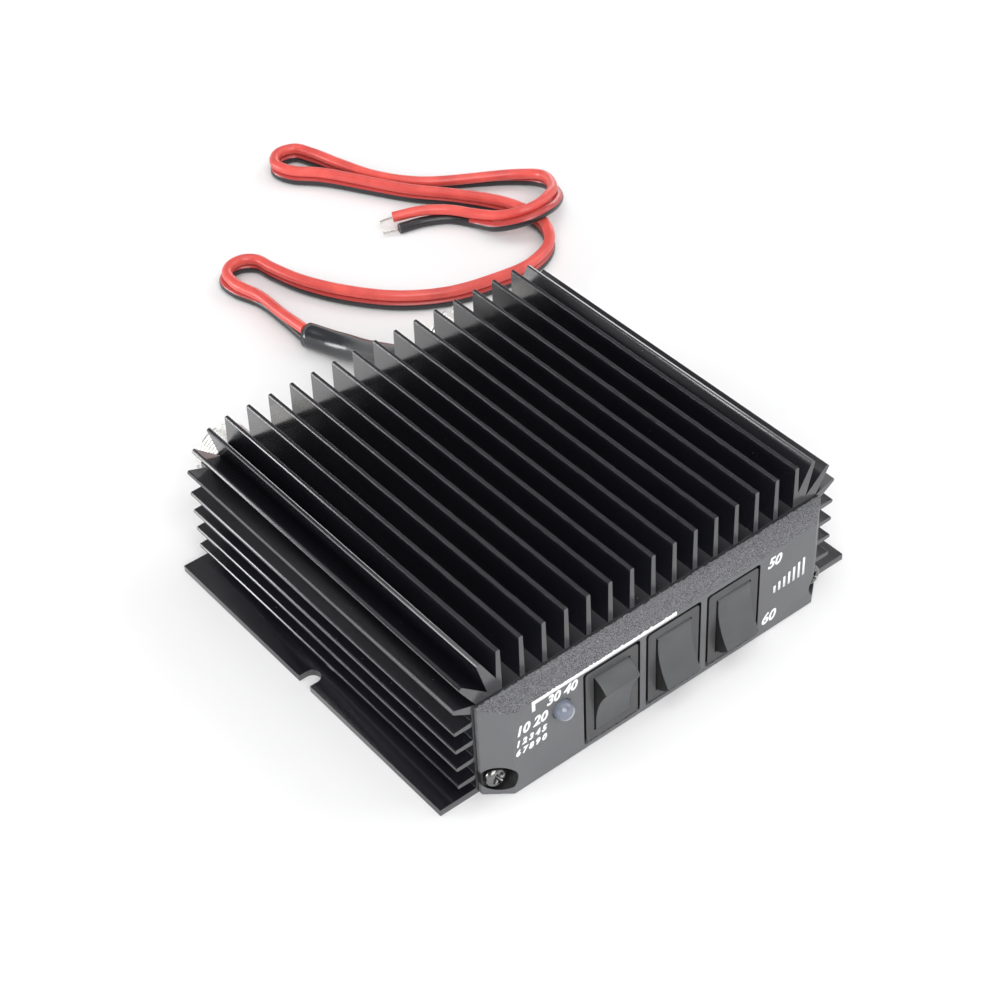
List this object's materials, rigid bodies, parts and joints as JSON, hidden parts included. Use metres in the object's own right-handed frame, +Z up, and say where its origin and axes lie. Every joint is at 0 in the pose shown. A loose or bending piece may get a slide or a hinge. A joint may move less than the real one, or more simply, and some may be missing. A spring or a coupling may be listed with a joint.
{
  "type": "hf linear amplifier",
  "caption": "Finned heatsink box amplifier for HF radio, with rocker switches and an indicator lamp in front, coaxial sockets behind and a twin power lead.",
  "frame": {"origin": "bottom centre of the object's box without its power lead, on the surface that it lies on", "axes": "+X right seen from the front, +Y from the switches to the sockets, +Z up out of the fins"},
  "size_m": [0.1722, 0.2463, 0.0396],
  "materials": {
    "anodised_black": "satin black anodised extrusion",
    "cover_aluminium": "plain rolled sheet, satin",
    "moulded_black": "moulded black plastic, satin with a grainy top",
    "switch_black": "moulded black nylon, satin",
    "rocker_black": "moulded black nylon, matt",
    "tinned_blade": "tinned brass",
    "lamp_lens": "milky diffusing epoxy",
    "screw_steel": "bright zinc plate",
    "nickel_plate": "bright nickel plate",
    "insulator_white": "white thermoplastic",
    "contact_gold": "gold plated brass",
    "board_green": "glass-epoxy board with green solder mask",
    "spacer_aluminium": "turned aluminium",
    "package_black": "black epoxy on a tinned tab",
    "relay_case": "pale moulded case",
    "capacitor_can": "can in a dark sleeve",
    "ferrite": "dark sintered ferrite",
    "copper_wire": "enamelled copper",
    "grommet_rubber": "black rubber",
    "heat_shrink": "glossy black heat-shrink sleeve",
    "wire_red": "red insulation, semi-gloss",
    "wire_black": "black insulation, semi-gloss",
    "tinned_copper": "tinned strands"
  },
  "bodies": {
    "case": {"heatsink": "anodised_black", "bottom_cover": "cover_aluminium", "front_panel": "moulded_black", "rear_panel": "moulded_black", "indicator_lamp": "lamp_lens", "circuit_board": "board_green", "cable_grommet": "grommet_rubber", "power_sleeve": "heat_shrink", "power_lead_red": "wire_red", "power_lead_black": "wire_black", "bare_tip_red": "tinned_copper", "bare_tip_black": "tinned_copper", "inner_lead_red": "wire_red", "inner_lead_black": "wire_black", "input_transformer_core": "ferrite", "output_transformer_core": "ferrite", "choke_core": "ferrite", "choke_winding": "copper_wire", "switch_1_housing": "switch_black", "switch_1_lower_blade": "tinned_blade", "switch_1_upper_blade": "tinned_blade", "switch_2_housing": "switch_black", "switch_2_lower_blade": "tinned_blade", "switch_2_upper_blade": "tinned_blade", "switch_3_housing": "switch_black", "switch_3_lower_blade": "tinned_blade", "switch_3_upper_blade": "tinned_blade", "front_screw_left": "screw_steel", "rear_screw_left": "screw_steel", "socket_shell_left": "nickel_plate", "socket_nut_left": "nickel_plate", "socket_insulator_left": "insulator_white", "socket_contact_left": "contact_gold", "power_transistor_left": "package_black", "transistor_screw_left": "screw_steel", "relay_left": "relay_case", "capacitor_left": "capacitor_can", "front_screw_right": "screw_steel", "rear_screw_right": "screw_steel", "socket_shell_right": "nickel_plate", "socket_nut_right": "nickel_plate", "socket_insulator_right": "insulator_white", "socket_contact_right": "contact_gold", "power_transistor_right": "package_black", "transistor_screw_right": "screw_steel", "relay_right": "relay_case", "capacitor_right": "capacitor_can", "board_spacer_1": "spacer_aluminium", "board_screw_1": "screw_steel", "board_spacer_2": "spacer_aluminium", "board_screw_2": "screw_steel", "board_spacer_3": "spacer_aluminium", "board_screw_3": "screw_steel", "board_spacer_4": "spacer_aluminium", "board_screw_4": "screw_steel"},
    "switch_1": {"switch_1_rocker": "rocker_black"},
    "switch_2": {"switch_2_rocker": "rocker_black"},
    "switch_3": {"switch_3_rocker": "rocker_black"}
  },
  "joints": [
    {"name": "switch_1_rock", "type": "hinge", "parent": "case", "child": "switch_1", "pos_m": [-0.01715, -0.05875, 0.0126], "axis": [1, 0, 0], "range_deg": [-30, 0]},
    {"name": "switch_2_rock", "type": "hinge", "parent": "case", "child": "switch_2", "pos_m": [0.0011, -0.05875, 0.0126], "axis": [1, 0, 0], "range_deg": [0, 30]},
    {"name": "switch_3_rock", "type": "hinge", "parent": "case", "child": "switch_3", "pos_m": [0.01935, -0.05875, 0.0126], "axis": [1, 0, 0], "range_deg": [0, 30]}
  ]
}
